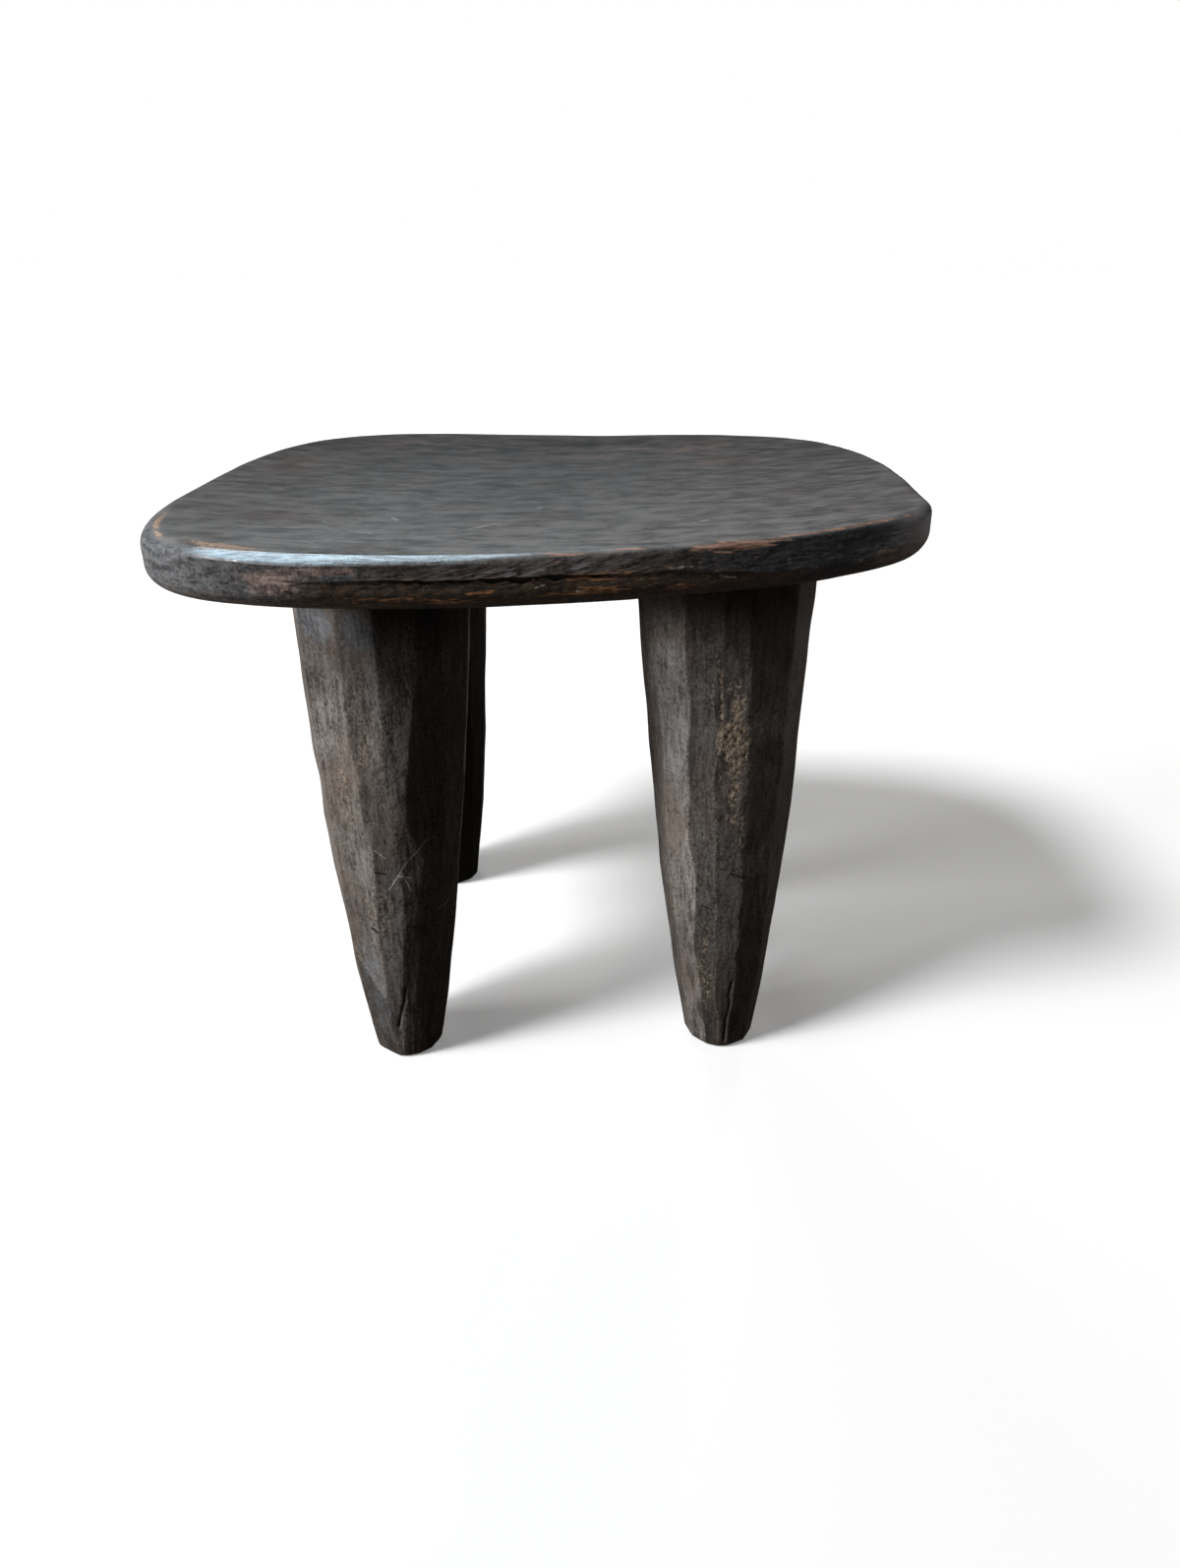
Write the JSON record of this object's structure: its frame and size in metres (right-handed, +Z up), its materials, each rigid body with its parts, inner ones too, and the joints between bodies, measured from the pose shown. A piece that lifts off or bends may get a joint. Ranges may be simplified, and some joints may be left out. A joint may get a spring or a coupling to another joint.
{
  "type": "four-legged stool",
  "caption": "Low wooden stool: a dished, rounded seat slab on hewn, tapering legs set in blind mortises, dark with age.",
  "frame": {"origin": "on the floor, under the middle of the seat's plan", "axes": "+X along the seat to its narrower end, +Y to the back, +Z up; the front faces -Y"},
  "size_m": [0.347, 0.297, 0.3],
  "materials": {
    "seat_wood": "near-black handled patina with a satin sheen, rubbed brown along the rim",
    "leg_wood": "dark grey-brown patina on adzed flats, matt to satin, with scratches and a worn patch"
  },
  "bodies": {
    "root": {"seat": "seat_wood", "leg_front_left": "leg_wood", "leg_front_right": "leg_wood", "leg_back_left": "leg_wood", "leg_back_right": "leg_wood"}
  },
  "joints": []
}
